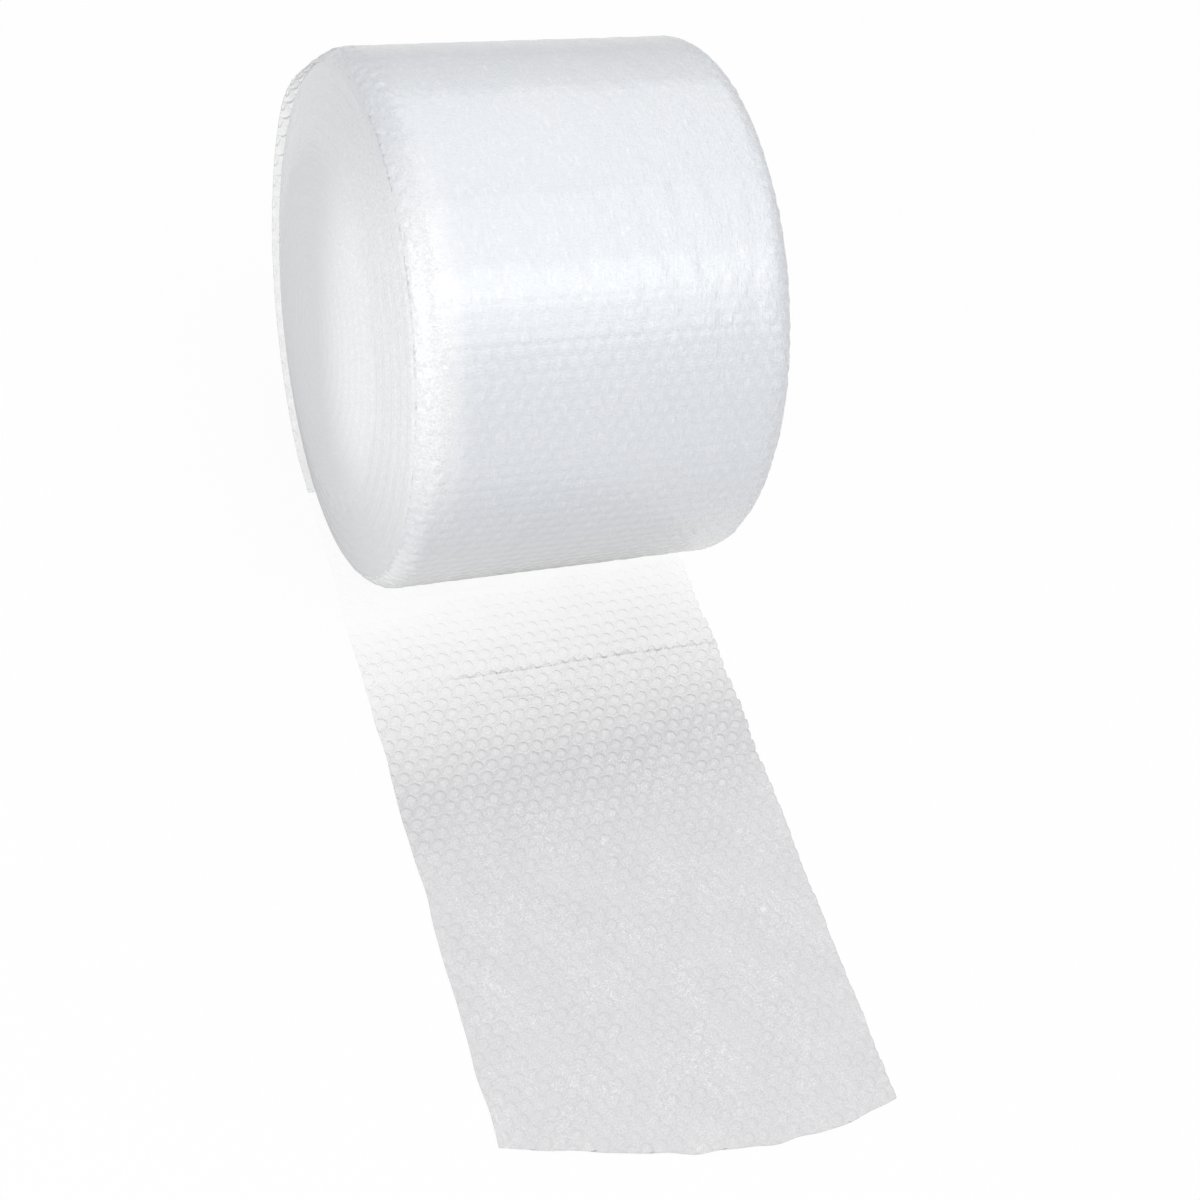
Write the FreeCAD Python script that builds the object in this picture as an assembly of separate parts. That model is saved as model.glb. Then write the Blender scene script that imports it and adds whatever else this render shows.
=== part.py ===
import FreeCAD, Part
import math
import os

# A roll of bubble wrap that lies on its side, with its free end pulled out flat over the floor.
# X runs along the roll's axis, the free end reaches out towards -Y, and Z is up.
# The origin is on the floor, under the roll's axis and midway across the web.
# The web is one length of film, wound up, so the whole roll is one solid.

# The web
web_width = 300.0
web_thickness = 4.5
film_thickness = 0.7
bubble_diameter = 9.2
bubble_top = 6.0
bubble_pitch = 11.66

# The wound turns, which stand a little further left than the outermost one. Their inner turns
# have slid further out on the left, where they make a low crown
wound_radius = 204.0
wound_walk = -3.3
left_crown = 17.0

# The rounded ends: how far they come in along the axis and down the radius, the radius of the
# tight bend at the rim, and the chords that stand for each arc. The left one comes down the
# radius to a small flat middle
left_shoulder_in = 42.8
left_flat = 12.0
left_bend = 22.0
right_shoulder_in = 24.0
right_shoulder_down = 55.0
right_bend = 13.7
wide_chords = 5
bend_chords = 4

# The spiral that the turns' edges make on both ends, one step for every few turns
turns_per_step = 5
first_step = 9.0
step_depth = 2.6
step_width = 4.0
step_skim = 0.3

# The outermost turn, loose at the back, where it keeps its full width
loose_until = 95.0
tight_from = 136.0
easing_share = 0.6

# The flat spot under the roll
sag = 3.0

# The free end on the floor: its reach at even steps across the web, left to right, along a hand cut
tail_reach = [584.0, 603.5, 620.5, 625.0, 612.5]
first_row = 62.0
crease_distance = 202.0
crease_width = 5.0
crease_depth = 2.6

# Worked out from the sizes above
row_spacing = bubble_pitch * math.sqrt(3.0) / 2.0
outer_radius = wound_radius + web_thickness
axis_height = outer_radius - sag
left_end = wound_walk - web_width / 2.0 - left_crown
right_end = wound_walk + web_width / 2.0
left_shoulder_down = wound_radius - left_flat
spiral_pitch = turns_per_step * web_thickness
past = 10.0


def vec(x, y, z):
    return FreeCAD.Vector(x, y, z)


def around(radius, degrees):
    """A point of the YZ plane at this radius from the axis, counted from the bottom round by the back."""
    angle = math.radians(degrees)
    return vec(0.0, radius * math.sin(angle), axis_height - radius * math.cos(angle))


def extruded(edges, start, length):
    """The solid that a closed outline of the YZ plane sweeps along X."""
    face = Part.Face(Part.Wire(edges))
    face.translate(vec(start, 0.0, 0.0))
    return face.extrude(vec(length, 0.0, 0.0))


class RoundedEnd:
    """One end of the wound turns: flat in the middle, then a wide shallow arc and a tight bend."""

    def __init__(self, end, side, shoulder_in, shoulder_down, bend):
        self.end = end
        self.side = side
        self.flat = wound_radius - shoulder_down
        self.rim_x = end - side * shoulder_in
        self.bend = bend
        rise = shoulder_down - bend
        self.wide = (shoulder_in ** 2 - bend ** 2 + rise ** 2) / (2.0 * (shoulder_in - bend))
        self.meet = math.atan2(rise, self.wide - shoulder_in)
        self.step_limit = wound_radius - bend

    def section(self):
        """Half the long section's outline, from the axis out to where the roll's side starts."""
        points = [vec(self.end, 0.0, axis_height)]
        for i in range(wide_chords):
            angle = self.meet * i / wide_chords
            along = self.end - self.side * self.wide * (1.0 - math.cos(angle))
            points.append(vec(along, 0.0, axis_height + self.flat + self.wide * math.sin(angle)))
        for i in range(bend_chords + 1):
            angle = self.meet + (math.pi / 2.0 - self.meet) * i / bend_chords
            along = self.rim_x + self.side * self.bend * math.cos(angle)
            radius = wound_radius - self.bend + self.bend * math.sin(angle)
            points.append(vec(along, 0.0, axis_height + radius))
        return points

    def setback(self, radius):
        """How far the wide arc has drawn back along the axis at this radius."""
        over = max(0.0, radius - self.flat)
        return self.wide - math.sqrt(self.wide ** 2 - over ** 2)

    def quarter_turns(self, quarter):
        """One quarter of every turn of the spiral: a comb of sloping steps, turned about its own centre.

        The four centres are the corners of a small square round the axis, and the steps of each
        quarter start a quarter of the pitch further out than those of the one before.
        """
        mouth = self.end + self.side * past
        radius = first_step + quarter * spiral_pitch / 4.0
        outline = [(mouth, radius)]
        while radius + spiral_pitch < self.step_limit:
            deep = self.setback(radius) + step_depth
            shallow = self.setback(radius + step_width) + step_skim
            outline.append((self.end - self.side * deep, radius))
            outline.append((self.end - self.side * shallow, radius + step_width))
            radius += spiral_pitch
        outline.append((self.end - self.side * (self.setback(radius) + step_depth), radius))
        outline.append((mouth, radius))
        axis = vec(0.0, 0.0, axis_height)
        centre = axis + vec(0.0, -spiral_pitch / 8.0, spiral_pitch / 8.0)
        corners = [centre + vec(x, across, 0.0) for x, across in outline]
        comb = Part.Face(Part.makePolygon(corners + corners[:1]))
        turned = comb.revolve(centre, vec(1.0, 0.0, 0.0), 90.0)
        turned.rotate(axis, vec(1.0, 0.0, 0.0), 90.0 * quarter)
        return turned

    def spiral(self):
        """The spiral of this end, which winds outwards over its four quarters."""
        return [self.quarter_turns(quarter) for quarter in range(4)]


left = RoundedEnd(left_end, -1.0, left_shoulder_in, left_shoulder_down, left_bend)
right = RoundedEnd(right_end, 1.0, right_shoulder_in, right_shoulder_down, right_bend)


def wound_turns():
    """The wound roll, turned about its axis from half of its long section."""
    outline = left.section() + right.section()[::-1]
    section = Part.Face(Part.makePolygon(outline + outline[:1]))
    roll = section.revolve(outline[0], vec(1.0, 0.0, 0.0), 360.0)
    return roll.cut(left.spiral() + right.spiral())


def loose_turn():
    """The outermost turn, from under the roll up the back, which draws in before the top."""
    easing = (loose_until + tight_from) / 2.0
    eased = wound_radius + web_thickness * easing_share
    edges = [
        Part.Arc(around(outer_radius, 0.0), around(outer_radius, loose_until / 2.0),
                 around(outer_radius, loose_until)).toShape(),
        Part.Arc(around(outer_radius, loose_until), around(eased, easing),
                 around(wound_radius, tight_from)).toShape(),
        Part.Arc(around(wound_radius, tight_from), around(wound_radius, tight_from / 2.0),
                 around(wound_radius, 0.0)).toShape(),
        Part.makeLine(around(wound_radius, 0.0), around(outer_radius, 0.0)),
    ]
    turn = extruded(edges, -web_width / 2.0, web_width)
    return turn.cut([drawn_in(left), drawn_in(right)])


def drawn_in(rounded):
    """What the outermost turn's edge gives up before the top, where it draws in to the rim."""
    side = rounded.side
    edge = side * web_width / 2.0
    back = around(outer_radius, loose_until).y
    front = around(outer_radius, tight_from).y
    corners = [
        vec(edge, back, axis_height),
        vec(rounded.rim_x, front, axis_height),
        vec(rounded.rim_x, front - past, axis_height),
        vec(edge + side * past, front - past, axis_height),
        vec(edge + side * past, back, axis_height),
    ]
    face = Part.Face(Part.makePolygon(corners + corners[:1]))
    return face.extrude(vec(0.0, 0.0, outer_radius + past))


def tail_rows(reach):
    """The free end's section: bare film with one flat-topped ridge for each row of bubbles."""
    foot = bubble_diameter / 2.0
    top = bubble_top / 2.0
    pressed = row_spacing / 2.0 - first_row
    outline = [(0.0, 0.0), (0.0, web_thickness), (pressed, web_thickness), (pressed, film_thickness)]
    row = -first_row
    while row > -reach:
        outline.append((row + foot, film_thickness))
        outline.append((row + top, web_thickness))
        outline.append((row - top, web_thickness))
        outline.append((row - foot, film_thickness))
        row -= row_spacing
    outline.append((row, film_thickness))
    outline.append((row, 0.0))
    points = [vec(-web_width / 2.0, along, height) for along, height in outline]
    face = Part.Face(Part.makePolygon(points + points[:1]))
    return face.extrude(vec(web_width, 0.0, 0.0))


def tail_outline():
    """The free end's plan: straight sides and the hand cut, one smooth line through its reaches."""
    half = web_width / 2.0
    step = web_width / (len(tail_reach) - 1)
    points = [vec(-half + i * step, -reach, -past) for i, reach in enumerate(tail_reach)]
    cut = Part.BSplineCurve()
    cut.interpolate(points)
    edges = [
        cut.toShape(),
        Part.makeLine(points[-1], vec(half, past, -past)),
        Part.makeLine(vec(half, past, -past), vec(-half, past, -past)),
        Part.makeLine(vec(-half, past, -past), points[0]),
    ]
    face = Part.Face(Part.Wire(edges))
    return face.extrude(vec(0.0, 0.0, 2.0 * past + web_thickness))


def crease():
    """The fold line across the free end, a shallow V pressed into the bubbles."""
    half = crease_width / 2.0
    rise = (web_thickness + past) / crease_depth
    corners = [
        vec(0.0, -crease_distance, web_thickness - crease_depth),
        vec(0.0, -crease_distance + half * rise, web_thickness + past),
        vec(0.0, -crease_distance - half * rise, web_thickness + past),
    ]
    edges = [Part.makeLine(corners[i], corners[(i + 1) % 3]) for i in range(3)]
    return extruded(edges, -web_width, 2.0 * web_width)


def free_end():
    """The free end that lies on the floor."""
    reach = max(tail_reach) + 2.0 * row_spacing
    return tail_rows(reach).common(tail_outline()).cut(crease())


def below_floor():
    """Everything under the floor, which the roll's weight presses flat."""
    span = outer_radius + max(tail_reach) + past
    return Part.makeBox(2.0 * web_width, 2.0 * span, span, vec(-web_width, -span, -span))


def bubble_wrap():
    """The whole web: wound turns with their spiral ends, the loose turn and the free end."""
    roll = wound_turns().fuse([loose_turn(), free_end()])
    return roll.cut(below_floor()).removeSplitter()


def export(name, shape):
    """Writes one sub-part and says what it measures."""
    box = shape.optimalBoundingBox()
    print(name, "solids", len(shape.Solids), "valid", shape.isValid(), "mm3", round(shape.Volume))
    print("spans", round(box.XLength, 1), round(box.YLength, 1), round(box.ZLength, 1))
    shape.exportStep("parts/" + name + ".step")


os.makedirs("parts", exist_ok=True)
export("bubble_wrap", bubble_wrap().Solids[0])
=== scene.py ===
import math
import bpy
import numpy as np
from mathutils import Matrix, Vector
from mathutils.geometry import delaunay_2d_cdt


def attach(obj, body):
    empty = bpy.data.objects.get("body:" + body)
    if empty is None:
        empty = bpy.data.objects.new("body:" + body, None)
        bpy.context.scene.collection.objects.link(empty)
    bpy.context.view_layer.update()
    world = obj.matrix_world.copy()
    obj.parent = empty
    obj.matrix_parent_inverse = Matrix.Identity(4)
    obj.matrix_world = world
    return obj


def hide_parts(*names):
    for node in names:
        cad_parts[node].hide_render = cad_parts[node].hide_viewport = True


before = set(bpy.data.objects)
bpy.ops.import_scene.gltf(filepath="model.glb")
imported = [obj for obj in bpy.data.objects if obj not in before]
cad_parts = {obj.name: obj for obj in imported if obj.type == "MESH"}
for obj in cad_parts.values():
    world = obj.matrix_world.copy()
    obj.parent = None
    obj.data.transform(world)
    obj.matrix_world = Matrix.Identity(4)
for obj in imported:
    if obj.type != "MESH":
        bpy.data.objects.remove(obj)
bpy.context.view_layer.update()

# A roll of bubble wrap on its side: X along its axis, the free end out towards -Y, Z up, in metres.
# "Across" is a place over the web's width, and "along" its distance from the line where the web
# leaves the roll's underside: positive on the free end, negative on the turn round the roll.

# The web
WEB_WIDTH = 0.300
WEB_THICKNESS = 0.0045
FILM_THICKNESS = 0.0004
BUBBLE_PITCH = 0.01166
BUBBLE_RADIUS = 0.00485
BUBBLE_HEIGHT = 0.0038
FIRST_ROW = 0.062
ROW_SPACING = BUBBLE_PITCH * math.sqrt(3.0) / 2.0

# The wound turns and the loose outer one
WOUND_RADIUS = 0.204
AXIS_HEIGHT = 0.2055
LEFT_END = -0.1703
RIGHT_END = 0.1467
LOOSE_UNTIL = math.radians(95.0)
TIGHT_FROM = math.radians(136.0)
FLAT_SPOT = 0.0352
OUTER_RADIUS = WOUND_RADIUS + WEB_THICKNESS

# The free end's reach at even steps across the web, left to right, and its fold line
TAIL_REACH = [0.584, 0.6035, 0.6205, 0.625, 0.6125]
CREASE = 0.202


def smooth(low, high, value):
    """0 below low, 1 above high, and an S-shaped cubic between them."""
    t = np.clip((value - low) / (high - low), 0.0, 1.0)
    return t * t * (3.0 - 2.0 * t)


def ripple(across, along, wavelength, seed, waves=9, stretch=1.0):
    """A smooth random field from -1 to 1: a sum of sines of seeded directions, phases and lengths
    near the given wavelength. A stretch above 1 draws it out along the web."""
    rng = np.random.default_rng(seed)
    total = np.zeros_like(across)
    for turn, phase, scale in zip(rng.uniform(0, math.tau, waves), rng.uniform(0, math.tau, waves),
                                  rng.uniform(0.7, 1.5, waves)):
        reach = math.tau / (wavelength * scale)
        total += np.sin(reach * (across * math.cos(turn) + along / stretch * math.sin(turn)) + phase)
    return total / math.sqrt(waves / 2.0) / 2.0


class Shoulder:
    """One rounded end of the wound turns, followed by the distance from the rim in to the axis:
    first the tight bend, then the wide shallow arc, then the flat middle."""

    def __init__(self, end, side, shoulder_in, shoulder_down, bend):
        self.end = end
        self.side = side
        self.bend = bend
        self.flat = WOUND_RADIUS - shoulder_down
        self.rim_x = end - side * shoulder_in
        rise = shoulder_down - bend
        self.wide = (shoulder_in ** 2 - bend ** 2 + rise ** 2) / (2.0 * (shoulder_in - bend))
        self.meet = math.atan2(rise, self.wide - shoulder_in)
        self.bend_length = bend * (math.pi / 2.0 - self.meet)
        self.wide_length = self.wide * self.meet
        self.web_edge = WEB_WIDTH / 2.0 - side * self.rim_x
        self.whole = self.bend_length + self.wide_length + self.flat

    def at(self, distance):
        """Place along the axis, radius, and the two parts of the outward normal."""
        in_bend = np.clip(distance, 0.0, self.bend_length)
        in_wide = np.clip(distance - self.bend_length, 0.0, self.wide_length)
        in_flat = np.maximum(distance - self.bend_length - self.wide_length, 0.0)
        tight = math.pi / 2.0 - in_bend / self.bend
        gentle = self.meet - in_wide / self.wide
        on_bend = distance < self.bend_length
        angle = np.where(on_bend, tight, gentle)
        x = np.where(on_bend, self.rim_x + self.side * self.bend * np.cos(tight),
                     self.end - self.side * self.wide * (1.0 - np.cos(gentle)))
        radius = np.where(on_bend, WOUND_RADIUS - self.bend + self.bend * np.sin(tight),
                          self.flat + self.wide * np.sin(gentle) - in_flat)
        return x, radius, self.side * np.cos(angle), np.sin(angle)


LEFT = Shoulder(LEFT_END, -1.0, 0.0428, 0.192, 0.022)
RIGHT = Shoulder(RIGHT_END, 1.0, 0.024, 0.055, 0.0137)


def wrapped(across):
    """Where a place across the web lies on the wound turns' long section: on the side between the
    rims, and past a rim round its shoulder. Gives x, radius and the outward normal."""
    x, radius = across, np.full_like(across, WOUND_RADIUS)
    normal_x, normal_r = np.zeros_like(across), np.ones_like(across)
    for end in (LEFT, RIGHT):
        past = end.side * (across - end.rim_x)
        found = end.at(np.maximum(past, 0.0))
        x, radius, normal_x, normal_r = [
            np.where(past > 0.0, a, b) for a, b in zip(found, (x, radius, normal_x, normal_r))]
    return x, radius, normal_x, normal_r


def round_axis(x, radius, angle):
    """A point this far from the axis, its angle counted from the bottom round by the back."""
    return np.stack([x, radius * np.sin(angle), AXIS_HEIGHT - radius * np.cos(angle)], axis=-1)


def cell_template(radii, ring):
    """One hexagon of the web round a bubble: a centre, rings at these radii and the six corners,
    joined to triangles. The corners come last."""
    spokes = np.arange(ring) * math.tau / ring
    rings = [np.stack([r * np.cos(spokes), r * np.sin(spokes)], axis=1) for r in radii]
    turn = math.pi / 6.0 + np.arange(6) * math.pi / 3.0
    corner = BUBBLE_PITCH / math.sqrt(3.0)
    corners = np.stack([corner * np.cos(turn), corner * np.sin(turn)], axis=1)
    points = np.concatenate([np.zeros((1, 2))] + rings + [corners])
    made = delaunay_2d_cdt([Vector(p * 1000.0) for p in points], [], [], 0, 1e-6)
    faces = np.array(made[2])
    a, b, c = (points[faces[:, k]] for k in range(3))
    turned = (b[:, 0] - a[:, 0]) * (c[:, 1] - a[:, 1]) - (b[:, 1] - a[:, 1]) * (c[:, 0] - a[:, 0])
    faces[turned < 0.0] = faces[turned < 0.0][:, ::-1]
    return points, faces


def cell_centres(first, last):
    """The lattice of bubbles between two places along the web: rows a row spacing apart, every
    other one shifted by half a pitch. Gives across, along and each row's number."""
    rows = np.arange(math.floor((first - FIRST_ROW) / ROW_SPACING) - 1,
                     math.ceil((last - FIRST_ROW) / ROW_SPACING) + 2)
    half = math.ceil(WEB_WIDTH / 2.0 / BUBBLE_PITCH) + 1
    columns = np.arange(-half, half + 1)
    row, column = np.meshgrid(rows, columns, indexing="ij")
    across = (column + 0.5 * (row % 2)) * BUBBLE_PITCH
    along = FIRST_ROW + row * ROW_SPACING
    return across.ravel(), along.ravel()


def cut_line(across):
    """The free end's reach at a place across it: a quartic through the five reaches, with the
    small wander of scissors cutting by hand."""
    places = np.linspace(-WEB_WIDTH / 2.0, WEB_WIDTH / 2.0, len(TAIL_REACH))
    quartic = np.polyfit(places, TAIL_REACH, len(TAIL_REACH) - 1)
    wander = 0.0007 * ripple(across, np.zeros_like(across), 0.024, 41)
    return np.polyval(quartic, across) + wander


class Patch:
    """A stretch of the web, made of hexagon cells that are cut at the web's edges and at both of
    its ends. It holds each vertex's place across and along, and its distance from the middle of
    its own bubble."""

    def __init__(self, first, last, radii, ring):
        self.first = first
        self.last = last
        self.local, self.faces = cell_template(radii, ring)
        across, along = cell_centres(first, last if np.isscalar(last) else max(TAIL_REACH))
        self.centre = np.stack([across, along], axis=1)
        points = self.centre[:, None, :] + self.local[None, :, :]
        trimmed = self.trim(points)
        self.cut = np.abs(trimmed - points).max(axis=2) > 1e-9
        keep = ~self.cut.all(axis=1)
        self.centre = self.centre[keep]
        self.cut = self.cut[keep]
        self.points = trimmed[keep]
        self.spread = np.linalg.norm(self.points - self.centre[:, None, :], axis=2)

    def trim(self, points):
        """The same points, moved to the nearest cut where they lie outside the web."""
        across = np.clip(points[..., 0], -WEB_WIDTH / 2.0, WEB_WIDTH / 2.0)
        last = cut_line(across) if self.last is None else self.last
        along = np.clip(points[..., 1], self.first, last)
        return np.stack([across, along], axis=-1)

    def triangles(self, cells, faces):
        """The template's triangles on these cells, without those that a cut has closed up."""
        made = cells[:, None, None] * len(self.local) + faces[None, :, :]
        made = made.reshape(-1, 3)
        return made[~self.cut.ravel()[made].all(axis=1)]


def weld(points, faces):
    """Merges points that lie together and drops the faces that this closes up."""
    keys = np.round(points * 1e6).astype(np.int64)
    unused, first, place = np.unique(keys, axis=0, return_index=True, return_inverse=True)
    place = place.reshape(-1)
    made = place[faces]
    good = (made[:, 0] != made[:, 1]) & (made[:, 1] != made[:, 2]) & (made[:, 2] != made[:, 0])
    return first, made[good]


def crinkled(points):
    """How far handling has rumpled the film of the left end, and where painted highlight specks lighten
    its colour there: most on its front half, over a patch whose middle is at half height, and nothing
    away from that end."""
    forward, up = points[:, 1], points[:, 2] - AXIS_HEIGHT
    side = -0.81 * forward + 0.587 * up
    height = 0.59 * forward + 0.81 * up
    share = smooth(0.01, 0.10, side) * (1.0 - smooth(0.05, 0.16, np.abs(height - 0.01)))
    return share * (1.0 - smooth(-0.135, -0.105, points[:, 0]))


def make_piece(name, points, faces, material, values):
    """A smooth-shaded mesh object from whole arrays, riding on the part. Values are numbers kept
    on its vertices for the material."""
    values = {**values, "crinkled": crinkled(points)}
    mesh = bpy.data.meshes.new(name)
    mesh.vertices.add(len(points))
    mesh.vertices.foreach_set("co", points.astype(np.float32).ravel())
    mesh.loops.add(len(faces) * 3)
    mesh.loops.foreach_set("vertex_index", faces.astype(np.int32).ravel())
    mesh.polygons.add(len(faces))
    mesh.polygons.foreach_set("loop_start", (np.arange(len(faces)) * 3).astype(np.int32))
    mesh.polygons.foreach_set("use_smooth", np.ones(len(faces), bool))
    mesh.update(calc_edges=True)
    mesh.validate()
    for key, numbers in values.items():
        mesh.attributes.new(key, "FLOAT", "POINT").data.foreach_set("value", numbers.astype(np.float32))
    mesh.materials.append(material)
    piece = bpy.data.objects.new(name, mesh)
    bpy.context.scene.collection.objects.link(piece)
    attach(piece, "root")
    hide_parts("bubble_wrap")
    return piece


def web_piece(name, patch, top, base, place, both_sides, material):
    """A closed stretch of web. Its top is the full template at the heights that top gives, its
    base the hexagons alone, or the full template on cut cells and where both_sides says so, at the
    heights that base gives, and a wall joins the two along every cut. place turns across, along and
    height into a point."""
    count = len(patch.local)
    cells = np.arange(len(patch.centre))
    across, along = patch.points[..., 0].ravel(), patch.points[..., 1].ravel()
    upper = place(across, along, top.ravel())
    lower = place(across, along, base.ravel())
    full = patch.cut.any(axis=1) | both_sides
    last = count - 6 + np.arange(6)
    hexagon = np.stack([np.repeat(last[0], 4), last[1:5], last[2:6]], axis=1)
    top_faces = patch.triangles(cells, patch.faces)
    base_faces = np.concatenate([patch.triangles(cells[full], patch.faces),
                                 patch.triangles(cells[~full], hexagon)])
    plan = np.stack([across, along, np.zeros_like(across)], axis=1)
    first, top_faces = weld(plan, top_faces)
    first_again, base_faces = weld(plan, base_faces)
    size = len(first)
    edges = np.concatenate([top_faces[:, [0, 1]], top_faces[:, [1, 2]], top_faces[:, [2, 0]]])
    key = edges[:, 0] * size + edges[:, 1]
    back = edges[:, 1] * size + edges[:, 0]
    rim = edges[~np.isin(key, back)]
    wall = np.concatenate([
        np.stack([rim[:, 1], rim[:, 0], rim[:, 0] + size], axis=1),
        np.stack([rim[:, 1], rim[:, 0] + size, rim[:, 1] + size], axis=1),
    ])
    points = np.concatenate([upper[first], lower[first]])
    faces = np.concatenate([top_faces, base_faces[:, ::-1] + size, wall])
    used, where = np.unique(faces, return_inverse=True)
    points, faces = points[used], where.reshape(-1, 3)
    past_rim = np.maximum(LEFT.rim_x - across, across - RIGHT.rim_x)
    loose = 1.0 - smooth(LOOSE_UNTIL + 0.40, TIGHT_FROM + 0.12, turn_angle(-along))
    values = {"across": across, "along": along, "spread": patch.spread.ravel(),
              "ahead": (patch.points[..., 1] - patch.centre[:, None, 1]).ravel() / BUBBLE_RADIUS,
              "crumple": smooth(-0.024, 0.010, past_rim),
              "free": smooth(-0.004, 0.004, past_rim) * loose}
    return make_piece(name, points, faces, material,
                      {key: np.tile(value[first], 2)[used] for key, value in values.items()})


def dome(spread, height):
    """A bubble's height over its foot: flat-topped, falling away as the square root of one minus
    the fourth power of the distance from its middle."""
    share = np.clip(spread / BUBBLE_RADIUS, 0.0, 1.0)
    return height * np.sqrt(1.0 - share ** 4)


def bulge(spread):
    """The film side's relief over a bubble, from 0 in the middle down to -1 between bubbles."""
    share = np.clip(spread / (BUBBLE_PITCH / 2.0), 0.0, 1.15)
    return -share ** 2 * (1.6 - 0.6 * share)


def free_end_place(across, along, height):
    """The free end on the floor: it lies flat but for slack waves, the fold line and a curl at
    the cut, and its sides wander a little."""
    clear = smooth(0.05, 0.12, along)
    slack = 0.0008 * (1.0 + ripple(across, along, 0.16, 3, stretch=0.6)) * clear
    line = CREASE + 0.0015 * ripple(across, 0.0 * along, 0.09, 5)
    fold = 0.0022 * np.exp(-((along - line + 0.012) / 0.012) ** 2)
    fold += 0.0012 * np.exp(-((along - line - 0.010) / 0.010) ** 2)
    fold -= 0.0024 * np.exp(-((along - line) / 0.0022) ** 2)
    lift = np.maximum(slack + fold * clear, 0.0)
    sway = 0.0011 * ripple(0 * across, along, 0.11, 7) * clear
    x = across + sway * np.abs(across) / (WEB_WIDTH / 2.0)
    x += 0.0008 * ripple(across, along, 0.050, 8) * clear
    y = -along - 0.0009 * ripple(across, along, 0.045, 9) * clear
    return np.stack([x, y, height + lift], axis=-1)


def free_end():
    """The free end: bubbles up, each a little different, pressed where the roll stands on it."""
    patch = Patch(0.0, None, [0.0026, 0.0041, BUBBLE_RADIUS], 12)
    rng = np.random.default_rng(11)
    size = len(patch.centre)
    across, along = patch.centre[:, 0], patch.centre[:, 1]
    worn = 0.5 + 0.5 * ripple(across, along, 0.05, 13)
    far = smooth(0.27, 0.40, along)
    height = BUBBLE_HEIGHT * (1.0 - 0.10 * rng.random(size) - (0.48 + 0.34 * worn) * far)
    lean = rng.normal(0.0, 0.05, (size, 2))
    top = dome(patch.spread, height[:, None])
    offset = patch.points - patch.centre[:, None, :]
    top *= 1.0 + (offset * lean[:, None, :]).sum(axis=2) / BUBBLE_RADIUS
    gap = AXIS_HEIGHT - np.sqrt(WOUND_RADIUS ** 2 - np.clip(patch.points[..., 1], 0.0, 0.1) ** 2)
    top = np.minimum(top + FILM_THICKNESS, gap - 0.0009)
    return web_piece("free_end", patch, top, np.zeros_like(top), free_end_place,
                     np.zeros(size, bool), free_film)


def turn_angle(distance):
    """The angle round the axis that the web reaches this far from the contact line, past the
    flat spot."""
    start = math.asin(FLAT_SPOT / OUTER_RADIUS)
    return start + (distance - FLAT_SPOT) / OUTER_RADIUS


def outer_turn_place(across, along, height):
    """The web round the roll: flat on the floor to the end of the flat spot, then round the back
    a web's thickness clear of the wound turns. Over the top it settles on to them, and its edges,
    which stood straight out, lay themselves round the shoulders."""
    distance = -along
    angle = turn_angle(distance)
    settled = smooth(LOOSE_UNTIL, TIGHT_FROM, angle)
    lift = WEB_THICKNESS * (1.0 - settled) + height
    x, radius, normal_x, normal_r = wrapped(across)
    laid = round_axis(x + normal_x * lift, radius + normal_r * lift, angle)
    straight = round_axis(across, WOUND_RADIUS + lift, angle)
    point = straight + (laid - straight) * settled[..., None]
    ground = np.stack([across, distance, -height], axis=-1)
    point = np.where((distance < FLAT_SPOT)[..., None], ground, point)
    point[..., 2] = np.maximum(point[..., 2], 0.0)
    return point


def outer_turn():
    """The outermost turn, film side out: a shallow bulge over each bubble, wrinkles across the
    web, and whole bubbles on its inner side where its edges stand clear of the roll."""
    last = (math.tau - math.asin(FLAT_SPOT / OUTER_RADIUS)) * OUTER_RADIUS + FLAT_SPOT
    patch = Patch(-last, 0.0, [0.0032, BUBBLE_RADIUS], 10)
    across, along = patch.points[..., 0], patch.points[..., 1]
    angle = turn_angle(-along)
    clear = smooth(0.03, 0.06, -along)
    lower = smooth(math.radians(212.0), math.radians(240.0), angle)
    between_rows = np.abs(patch.points[..., 1] - patch.centre[:, None, 1]) / (ROW_SPACING / 2.0)
    outside = (0.00007 + 0.00015 * lower) * bulge(patch.spread)
    outside -= 0.00010 * lower * smooth(0.5, 1.0, between_rows)
    outside += 0.00022 * ripple(across, along, 0.020, 21, stretch=3.0)
    past_rim = np.maximum(LEFT.rim_x - across, across - RIGHT.rim_x)
    outside += 0.00045 * ripple(across, along, 0.011, 22) * smooth(-0.008, 0.008, past_rim)
    outside *= clear
    centre_angle = turn_angle(-patch.centre[:, 1])
    room = WEB_THICKNESS * (1.0 - smooth(LOOSE_UNTIL, TIGHT_FROM, centre_angle))
    near_edge = np.abs(patch.centre[:, 0]) > WEB_WIDTH / 2.0 - 2.6 * BUBBLE_PITCH
    shown = near_edge & (centre_angle < TIGHT_FROM) & (-patch.centre[:, 1] > 0.05)
    inside = -FILM_THICKNESS - dome(patch.spread, (0.9 * room * shown)[:, None])
    return patch, outside, inside, shown


def build_outer_turn():
    """The outer turn's closed mesh. Its film side is the base here, so its faces are turned over."""
    patch, outside, inside, shown = outer_turn()
    size = len(patch.centre)
    return web_piece("outer_turn", patch, outside, inside, outer_turn_place, shown, roll_film)


# The spiral that the turns' edges make on the ends
TURN_STEPS = 256
ROWS_PER_TURN = 4
TURN_PROFILE = np.array([0.0, -0.00008, -0.00016, -0.00010])


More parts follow.
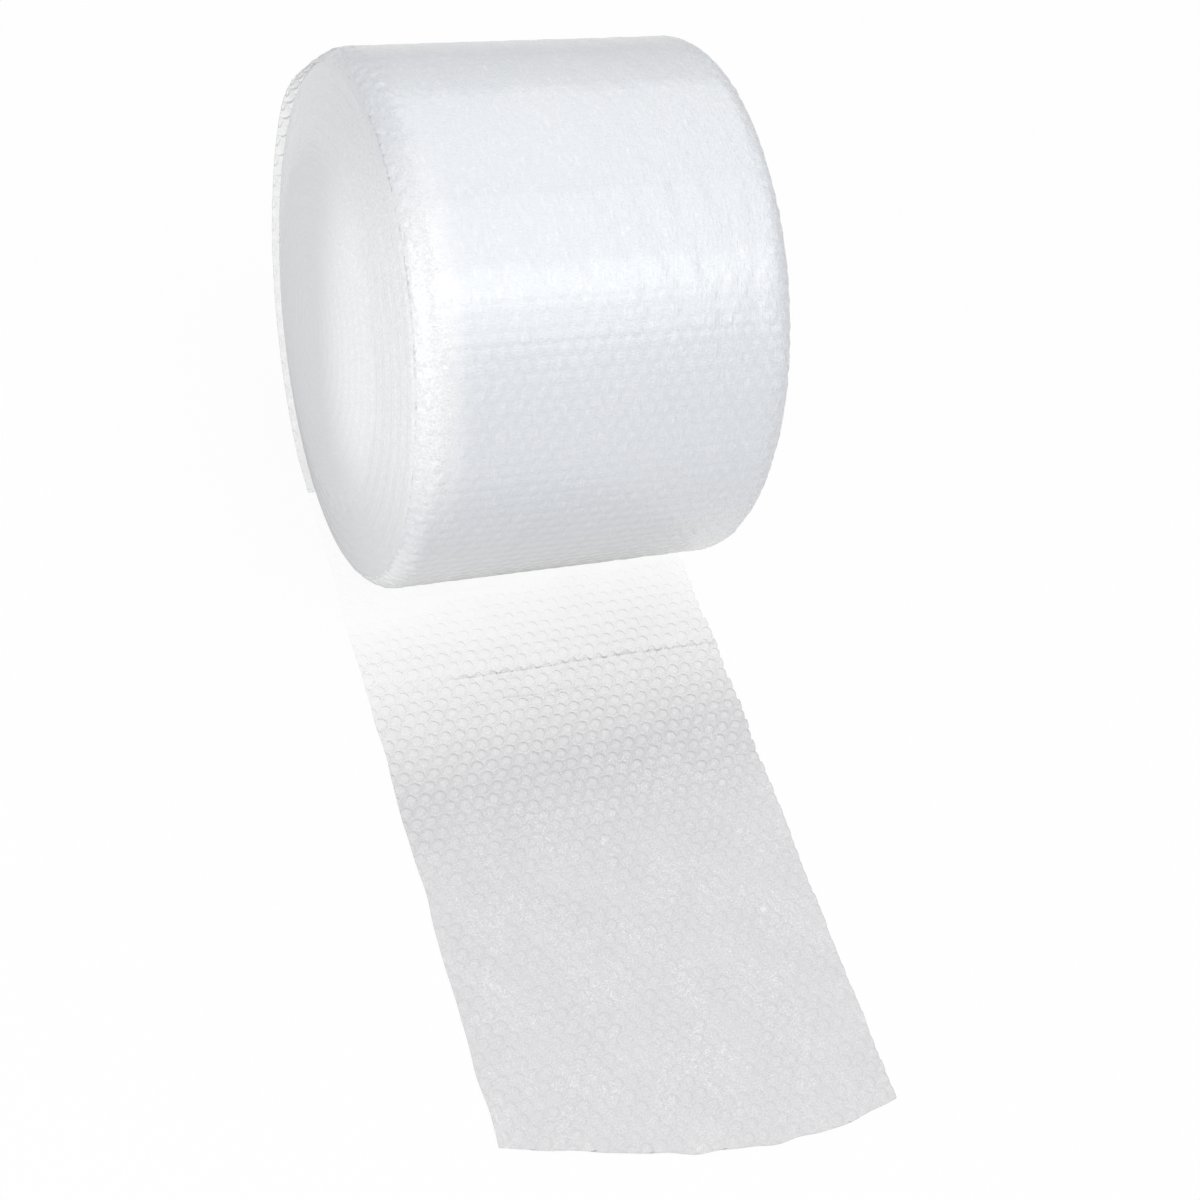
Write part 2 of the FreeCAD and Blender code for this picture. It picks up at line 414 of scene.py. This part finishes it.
def spiral_end(end):
    """One end as rows that follow the spiral: a row's distance from the centre grows by one web
    thickness for each turn, and each turn goes from its film's edge down into the gap where the
    cut bubbles are and up to the next film. It stops at the edge of the outermost turn."""
    limit = end.whole - end.web_edge + 0.002
    rows = math.ceil(limit / WEB_THICKNESS) * ROWS_PER_TURN + 1
    row, step = np.meshgrid(np.arange(rows), np.arange(TURN_STEPS), indexing="ij")
    turns = row / ROWS_PER_TURN + step / TURN_STEPS
    reach = np.minimum(turns * WEB_THICKNESS, limit)
    angle = step * math.tau / TURN_STEPS
    depth = TURN_PROFILE[row % ROWS_PER_TURN] * smooth(0.0, 0.012, reach)
    depth += 0.00015 * np.sin(turns * 2.4) * smooth(0.0, 0.02, reach)
    depth *= 1.0 - smooth(limit - 0.002, limit, reach)
    x, radius, normal_x, normal_r = end.at(end.whole - reach)
    points = round_axis(x + normal_x * depth, radius + normal_r * depth, angle)
    number = row * TURN_STEPS + step
    inner, outer = number[:-1], number[1:]
    quads = [np.stack([inner[:, :-1], outer[:, :-1], outer[:, 1:], inner[:, 1:]], axis=-1).reshape(-1, 4)]
    m = ROWS_PER_TURN
    j = np.arange(rows - 1 - m)
    quads.append(np.stack([number[j, -1], number[j + 1, -1], number[j + 1 + m, 0], number[j + m, 0]], axis=1))
    quads = np.concatenate(quads)
    fan = np.stack([np.full(TURN_STEPS - 2, number[0, 0]), number[0, 1:-1], number[0, 2:]], axis=1)
    eye = np.stack([np.full(m, number[0, -1]), number[np.arange(m), 0], number[np.arange(m) + 1, 0]], axis=1)
    faces = np.concatenate([quads[:, [0, 1, 2]], quads[:, [0, 2, 3]], fan, eye[:, ::-1]])
    if end.side > 0.0:
        faces = faces[:, ::-1]
    shade = np.array([1.0, 0.45, 0.0, 0.5])[row % m]
    return points.reshape(-1, 3), faces, shade.ravel(), smooth(0.105, 0.165, radius).ravel()


def wound_turns():
    """The wound turns under the outermost one: both spiral ends, and between them the shoulders
    and the side, a film's thickness under the outermost turn."""
    angle = np.arange(TURN_STEPS) * math.tau / TURN_STEPS
    sink = 0.0010
    outline = []
    for end in (LEFT, RIGHT):
        distance = np.linspace(end.web_edge - 0.002, 0.0, 9)
        x, radius, normal_x, normal_r = end.at(distance)
        deep = sink * smooth(0.0, 0.002, end.web_edge - 0.002 - distance)
        line = np.stack([x - normal_x * deep, radius - normal_r * deep], axis=1)
        outline.append(line if end is LEFT else line[::-1])
    outline = np.concatenate(outline)
    side = round_axis(outline[:, :1] + 0 * angle, outline[:, 1:] + 0 * angle, angle + 0 * outline[:, :1])
    number = np.arange(side.shape[0] * TURN_STEPS).reshape(-1, TURN_STEPS)
    following = np.roll(number, -1, axis=1)
    quads = np.stack([number[:-1], number[1:], following[1:], following[:-1]], axis=-1).reshape(-1, 4)
    side_faces = np.concatenate([quads[:, [0, 1, 2]], quads[:, [0, 2, 3]]])
    parts = [spiral_end(LEFT), spiral_end(RIGHT)]
    points = np.concatenate([parts[0][0], parts[1][0], side.reshape(-1, 3)])
    shade = np.concatenate([parts[0][2], parts[1][2], np.ones(number.size)])
    crumple = np.concatenate([parts[0][3], parts[1][3], np.ones(number.size)])
    shift = len(parts[0][0])
    faces = np.concatenate([parts[0][1], parts[1][1] + shift, side_faces + shift + len(parts[1][0])])
    first, faces = weld(points, faces)
    return make_piece("wound_turns", points[first], faces, wound_film,
                      {"crest": shade[first], "crumple": crumple[first]})


class Wire:
    """A socket in a shader, on which sums, products and the like add their Math nodes."""

    def __init__(self, tree, socket):
        self.tree = tree
        self.socket = socket

    def maths(self, operation, other, turned=False):
        pair = (other, self) if turned else (self, other)
        made = self.tree.node("ShaderNodeMath", {"operation": operation}, {0: pair[0], 1: pair[1]})
        return made.out()

    def __add__(self, other):
        return self.maths("ADD", other)

    def __sub__(self, other):
        return self.maths("SUBTRACT", other)

    def __rsub__(self, other):
        return self.maths("SUBTRACT", other, turned=True)

    def __mul__(self, other):
        return self.maths("MULTIPLY", other)

    __radd__ = __add__
    __rmul__ = __mul__


class Node:
    """A shader node and the way to its sockets."""

    def __init__(self, tree, node):
        self.tree = tree
        self.node = node

    def out(self, name=0):
        return Wire(self.tree, self.node.outputs[name])


class Shader:
    """A material's node tree."""

    def __init__(self, name):
        self.material = bpy.data.materials.new(name)
        self.material.use_nodes = True
        self.tree = self.material.node_tree
        self.tree.nodes.clear()

    def node(self, kind, settings=None, sockets=None):
        """Adds a node: its settings first, then the values or links of its sockets."""
        made = self.tree.nodes.new(kind)
        for key, value in (settings or {}).items():
            if key == "stops":
                while len(made.color_ramp.elements) < len(value):
                    made.color_ramp.elements.new(0.5)
                for element, (place, level) in zip(made.color_ramp.elements, value):
                    element.position = place
                    element.color = (level, level, level, 1.0)
            else:
                setattr(made, key, value)
        for key, value in (sockets or {}).items():
            if isinstance(value, Wire):
                self.tree.links.new(value.socket, made.inputs[key])
            else:
                made.inputs[key].default_value = value
        return Node(self, made)

    def surface(self, shader):
        self.node("ShaderNodeOutputMaterial", None, {"Surface": shader})
        return self.material

    def object_place(self):
        return self.node("ShaderNodeTexCoord").out("Object")

    def stored(self, name):
        return self.node("ShaderNodeAttribute", {"attribute_name": name}).out("Fac")

    def noise(self, place, scale, detail=3.0, rough=0.55, distortion=0.0):
        return self.node("ShaderNodeTexNoise", None, {
            "Vector": place, "Scale": scale, "Detail": detail, "Roughness": rough,
            "Distortion": distortion}).out("Fac")

    def web_place(self, stretch=1.0):
        """A place on the flat web, in metres, drawn out along it by the stretch."""
        return self.node("ShaderNodeCombineXYZ", None, {
            "X": self.stored("across"), "Y": self.stored("along") * (1.0 / stretch)}).out()

    def ramp(self, value, low, high):
        """0 below low, 1 above high and straight between them."""
        return self.node("ShaderNodeMapRange", None, {
            "Value": value, "From Min": low, "From Max": high}).out()

    def ease(self, value, low, high, start=0.0, end=1.0):
        """A smooth step of a value from one level to another."""
        return self.node("ShaderNodeMapRange", {"interpolation_type": "SMOOTHSTEP"}, {
            "Value": value, "From Min": low, "From Max": high, "To Min": start,
            "To Max": end}).out()

    def size(self, value):
        """A value without its sign."""
        return self.node("ShaderNodeMath", {"operation": "ABSOLUTE"}, {0: value}).out()

    def crumpled_height(self):
        """The crumpled film of the shoulders, the same on every piece there."""
        place = self.object_place()
        return (self.noise(place, 520.0, 2.0, 0.65, 1.2) - 0.5) * 0.9 + (self.noise(place, 180.0, 1.0) - 0.5)

    def crumpled_share(self):
        """How far the film is crumpled: it starts before the rim along a ragged line."""
        ragged = self.noise(self.object_place(), 70.0, 3.0, 0.6) - 0.5
        return self.ease(self.stored("crumple") + ragged * 0.9, 0.15, 0.95)

    def painted_glint_flecks(self):
        """Painted highlight: small bright specks of colour that stand in for glints on rumpled film."""
        return self.ease(self.noise(self.object_place(), 560.0, 2.0, 0.65, 0.8), 0.47, 0.60)

    def mix(self, share, one, other):
        made = self.node("ShaderNodeMix", {"data_type": "RGBA"}, {0: share, 6: one, 7: other})
        return Wire(self, made.node.outputs[2])

    def bump(self, height, distance, strength=1.0, normal=None):
        sockets = {"Height": height, "Distance": distance, "Strength": strength}
        if normal is not None:
            sockets["Normal"] = normal
        return self.node("ShaderNodeBump", None, sockets).out()


def make_free_film():
    """Clear film over the pale floor: see-through near the roll, where it lies smooth, and hazier
    further out, where it is crumpled. Its colour is lighter near the roll, painted light in the roll's
    shade, and darker further out. It is denser round each bubble's foot and seen edge on, where painted
    light lightens it. Painted highlights light one side of the bubbles' rims and thin lines along its
    folds further out, and painted shade runs across in a line along the fold with a weaker one beyond it."""
    s = Shader("free_film")
    across, along, spread = s.stored("across"), s.stored("along"), s.stored("spread")
    web = s.web_place()
    fine = s.noise(web, 650.0, 3.0, 0.62, 0.8)
    crumple = s.noise(web, 150.0, 2.0, 0.6, 1.6)
    wander = s.noise(web, 75.0, 2.0, 0.6, 2.2)
    patchy = s.noise(web, 28.0, 2.0, 0.5, 0.5)
    near = s.ease(along - across * 0.10, 0.15, 0.23)
    out = s.ramp(along + across * 0.12 + patchy * 0.02, 0.130, 0.300)
    far = s.ease(along + across * 0.16 + patchy * 0.06, 0.25, 0.36)
    # Painted highlight: thin light lines along the folds further out.
    painted_wrinkle_highlight = s.ease(s.size(wander - 0.5), 0.0, 0.022, 1.0, 0.0) * s.ease(patchy, 0.42, 0.60) * far
    normal = s.bump(crumple, 0.0012, 0.45, s.bump(fine, 0.0005, 0.5))
    uneven = s.noise(web, 56.0, 3.0, 0.6, 0.6)
    gap = along + uneven * 0.003 - (CREASE + 0.0015)
    second = along + uneven * 0.003 - (CREASE + 0.0255)
    broken = s.ease(crumple, 0.36, 0.60)
    # Painted shade: a line along the fold, with a weaker one beyond it, broken in places.
    crease_shade_line = s.ease(s.size(gap), 0.0002, 0.0013, 1.0, 0.0) * s.ease(across, -0.105, -0.05)
    faint_crease_shade = s.ease(s.size(second), 0.0002, 0.0013, 0.5, 0.0) * s.ease(s.size(across + 0.02), 0.03, 0.08, 1.0, 0.0)
    painted_crease_shade = (crease_shade_line + faint_crease_shade) * (0.25 + broken * 0.60)
    seen = s.ease(uneven, 0.34, 0.62) * near * (1.0 - far)
    # Painted highlight: a light arc on the side of each bubble's rim away from the roll.
    painted_rim_highlight = s.ease(spread, 0.0046, 0.0051) - s.ease(spread, 0.0054, 0.0060)
    painted_rim_highlight = painted_rim_highlight * s.ease(s.stored("ahead"), 0.1, 0.8) * s.ease(uneven, 0.44, 0.56)
    painted_rim_highlight = painted_rim_highlight * near * (1.0 - far)
    # Painted light: the colour is lighter near the roll, filling the roll's shade, and darker further out.
    tint = s.mix(out, (0.90, 0.90, 0.89, 1.0), (0.680, 0.677, 0.695, 1.0))
    tint = s.mix(s.ease(fine, 0.54, 0.80) * 0.6, tint, (0.90, 0.90, 0.91, 1.0))
    tint = s.mix(painted_rim_highlight * 0.8, tint, (0.93, 0.93, 0.93, 1.0))
    tint = s.mix(painted_wrinkle_highlight * 0.7, tint, (0.98, 0.98, 0.98, 1.0))
    tint = s.mix(painted_crease_shade, tint, (0.40, 0.40, 0.40, 1.0))
    facing = s.node("ShaderNodeLayerWeight", None, {"Blend": 0.35}).out("Facing")
    # Painted light: lighter where the film is seen edge on, filling the shade on the bubbles' steep sides.
    tint = s.mix(s.ease(facing, 0.36, 0.85) * 0.7, tint, (0.96, 0.96, 0.96, 1.0))
    foot = s.ease(spread, 0.0040, 0.0050) - s.ease(spread, 0.0050, 0.0062)
    density = 0.012 + out * 0.43 + facing * (seen * 0.05 + far * 0.02) + foot * seen * 0.03
    density = density + ((crumple - 0.5) * 0.16 + (fine - 0.5) * 0.30) * (0.15 + out * 0.85)
    density = density + painted_crease_shade * 0.30 + painted_rim_highlight * 0.35
    made = s.node("ShaderNodeBsdfPrincipled", None, {
        "Base Color": tint, "Roughness": 0.24, "IOR": 1.5, "Alpha": density, "Normal": normal})
    return s.surface(made.out())


def make_roll_film():
    """The same film where it lies on many turns of itself: frosty white under a clear gloss, a little
    darker round each bubble, drawn into fine streaks along the web, crumpled where it goes over the
    shoulders and see-through where its edge stands free. Painted highlights lighten the streaks, a band
    of spots on the bubbles and specks on the left end's front half; painted light lightens it towards
    the underside and on the edge that stands free."""
    s = Shader("roll_film")
    spread = s.stored("spread")
    crumpled = s.crumpled_share()
    crinkled = s.stored("crinkled")
    free = s.stored("free")
    fine = s.noise(s.web_place(), 430.0, 2.0, 0.6, 0.6)
    streak = s.noise(s.web_place(4.0), 420.0, 2.0, 0.6, 0.5)
    dashes = s.noise(s.web_place(0.35), 260.0, 2.0, 0.5, 0.3)
    right = s.ease(s.stored("across"), -0.05, 0.13)
    height = fine * 0.75 + streak * (0.75 + right * 1.2) + dashes * 0.75
    height = height + s.crumpled_height() * (crumpled * 1.3 + crinkled * 0.9)
    normal = s.bump(height, 0.00045, 1.0)
    ring = s.ease(spread, 0.0041, 0.0049) - s.ease(spread, 0.0054, 0.0066) * 0.4
    # Painted highlight: a light spot on each bubble, in a band of the side under the highlight.
    below = s.ease(s.stored("along"), -0.855, -0.80, 1.0, 0.0) * s.ease(s.stored("along"), -0.99, -0.87)
    painted_bubble_glints = s.ease(spread, 0.0022, 0.0050, 1.0, 0.0) * below * s.ease(dashes, 0.30, 0.62)
    tint = s.mix(s.noise(s.object_place(), 14.0, 1.0), (0.715, 0.74, 0.78, 1.0), (0.745, 0.765, 0.80, 1.0))
    tint = s.mix(ring * 0.06, tint, (0.62, 0.64, 0.68, 1.0))
    tint = s.mix(painted_bubble_glints * 0.22, tint, (0.90, 0.91, 0.93, 1.0))
    # Painted highlight: lighter streaks along the web, standing in for glints on its fine creasing.
    tint = s.mix(s.ease(streak, 0.50, 0.72) * 0.42, tint, (0.88, 0.89, 0.91, 1.0))
    tint = s.mix(s.ease(dashes, 0.36, 0.50, 1.0, 0.0) * 0.22, tint, (0.62, 0.64, 0.68, 1.0))
    # Painted light: lighter towards the roll's underside, filling the shade by the floor.
    tint = s.mix(s.ease(s.stored("along"), -1.10, -0.95, 1.0, 0.0), tint, (0.95, 0.955, 0.96, 1.0))
    # Painted highlight: white specks on the left end's front half, standing in for glints.
    tint = s.mix(crinkled * (0.66 + s.painted_glint_flecks() * 0.34), tint, (0.99, 0.99, 1.0, 1.0))
    # Painted light: the edge that stands free is whiter, filling the shade on its inner side.
    tint = s.mix(free, tint, (0.93, 0.935, 0.945, 1.0))
    facing = s.node("ShaderNodeLayerWeight", None, {"Blend": 0.35}).out("Facing")
    made = s.node("ShaderNodeBsdfPrincipled", None, {
        "Base Color": tint, "Roughness": s.ease(crumpled, 0.0, 1.0, 0.40, 0.30), "IOR": 1.5,
        "Specular IOR Level": 1.0, "Normal": normal, "Alpha": 1.0 - free * (0.86 - facing * 0.3),
        "Coat Weight": 1.0, "Coat Roughness": 0.16})
    return s.surface(made.out())


def make_wound_film():
    """The edges of the turns: pale at each film's edge and a little darker down in the gaps, which is
    painted shade, and crumpled over towards the rim, with painted highlight specks on the left end's front half."""
    s = Shader("wound_film")
    crest = s.stored("crest")
    crumpled = s.crumpled_share()
    crinkled = s.stored("crinkled")
    crinkle = s.noise(s.object_place(), 360.0, 4.0, 0.62, 0.8)
    normal = s.bump(crinkle * 1.1 + s.crumpled_height() * (crumpled * 1.3 + crinkled * 0.9), 0.00045, 1.0)
    # Painted shade: a little darker down in the gaps between the turns' edges.
    tint = s.mix(crest, (0.695, 0.71, 0.735, 1.0), (0.705, 0.72, 0.745, 1.0))
    tint = s.mix(crumpled, tint, (0.74, 0.755, 0.785, 1.0))
    # Painted highlight: white specks on the left end's front half, standing in for glints.
    tint = s.mix(crinkled * (0.66 + s.painted_glint_flecks() * 0.34), tint, (0.99, 0.99, 1.0, 1.0))
    made = s.node("ShaderNodeBsdfPrincipled", None, {
        "Base Color": tint, "Roughness": s.ease(crumpled, 0.0, 1.0, 0.45, 0.30), "IOR": 1.5,
        "Specular IOR Level": 1.0, "Normal": normal,
        "Coat Weight": s.ease(crumpled, 0.0, 1.0, 0.3, 1.0), "Coat Roughness": 0.16})
    return s.surface(made.out())


# The view of the photograph, fitted to the roll's outline: where the camera stands and its axes
CAMERA_PLACE = (-0.53160, -1.02696, 1.35373)
CAMERA_RIGHT = (0.92962646, -0.29842479, 0.21618807)
CAMERA_UP = (0.12376914, 0.80544091, 0.57960861)
CAMERA_BACK = (-0.3470963, -0.51206209, 0.78569497)
CAMERA_LENS = 61.70


def set_camera():
    """The camera at the photograph's viewing angle."""
    data = bpy.data.cameras.new("camera")
    data.lens = CAMERA_LENS
    data.sensor_width = 36.0
    data.clip_start = 0.05
    data.clip_end = 20.0
    camera = bpy.data.objects.new("camera", data)
    turn = Matrix((CAMERA_RIGHT, CAMERA_UP, CAMERA_BACK)).transposed()
    camera.matrix_world = Matrix.Translation(CAMERA_PLACE) @ turn.to_4x4()
    bpy.context.scene.collection.objects.link(camera)
    bpy.context.scene.camera = camera


def add_lamp(name, direction, distance, width, height, power, target=(0.0, -0.1, 0.15)):
    """A softbox that shines at the object from this direction, its width lying along the roll."""
    data = bpy.data.lights.new(name, "AREA")
    data.shape = "RECTANGLE"
    data.size = width
    data.size_y = height
    data.energy = power
    lamp = bpy.data.objects.new(name, data)
    away = Vector(direction).normalized()
    across = (Vector((1.0, 0.0, 0.0)) - away * away.x).normalized()
    turn = Matrix((across, away.cross(across), away)).transposed()
    lamp.matrix_world = Matrix.Translation(Vector(target) + away * distance) @ turn.to_4x4()
    bpy.context.scene.collection.objects.link(lamp)


def set_studio():
    """A white studio: a pale floor that keeps the roll's shadow, a white world and soft lamps."""
    s = Shader("studio_floor")
    seen = s.node("ShaderNodeLightPath").out("Is Camera Ray")
    pale = s.node("ShaderNodeBsdfDiffuse", None, {"Color": (0.86, 0.86, 0.86, 1.0)})
    white = s.node("ShaderNodeEmission", None, {"Color": (1.0, 1.0, 1.0, 1.0), "Strength": 1.0})
    mixed = s.node("ShaderNodeMixShader", None, {0: seen * 0.95, 1: pale.out(), 2: white.out()})
    material = s.surface(mixed.out())
    mesh = bpy.data.meshes.new("studio_floor")
    reach = 6.0
    low = -0.0006
    mesh.from_pydata([(-reach, -reach, low), (reach, -reach, low), (reach, reach, low),
                      (-reach, reach, low)], [], [(0, 1, 2, 3)])
    mesh.materials.append(material)
    floor = bpy.data.objects.new("studio_floor", mesh)
    bpy.context.scene.collection.objects.link(floor)
    world = bpy.data.worlds.new("studio")
    world.use_nodes = True
    tree = world.node_tree
    tree.nodes.clear()
    output = tree.nodes.new("ShaderNodeOutputWorld")
    sky = tree.nodes.new("ShaderNodeBackground")
    sky.inputs["Color"].default_value = (1.0, 1.0, 1.0, 1.0)
    path = tree.nodes.new("ShaderNodeLightPath")
    level = tree.nodes.new("ShaderNodeMapRange")
    level.inputs["To Min"].default_value = 0.60
    level.inputs["To Max"].default_value = 1.0
    tree.links.new(path.outputs["Is Camera Ray"], level.inputs["Value"])
    tree.links.new(level.outputs["Result"], sky.inputs["Strength"])
    tree.links.new(sky.outputs["Background"], output.inputs["Surface"])
    bpy.context.scene.world = world
    add_lamp("key", (0.26, -0.37, 0.88), 2.2, 1.2, 2.4, 12.0)
    add_lamp("top", (0.26, 0.53, 0.80), 2.2, 1.2, 1.9, 6.0)
    add_lamp("spark", (0.20, -0.48, 0.85), 2.2, 1.1, 0.50, 3.0)
    add_lamp("left", (-0.82, -0.35, 0.45), 2.2, 1.7, 1.7, 15.0)


free_film = make_free_film()
roll_film = make_roll_film()
wound_film = make_wound_film()
laid_end = free_end()
around_roll = build_outer_turn()
wound_turns()
set_camera()
set_studio()
bpy.context.scene.view_settings.view_transform = "Standard"
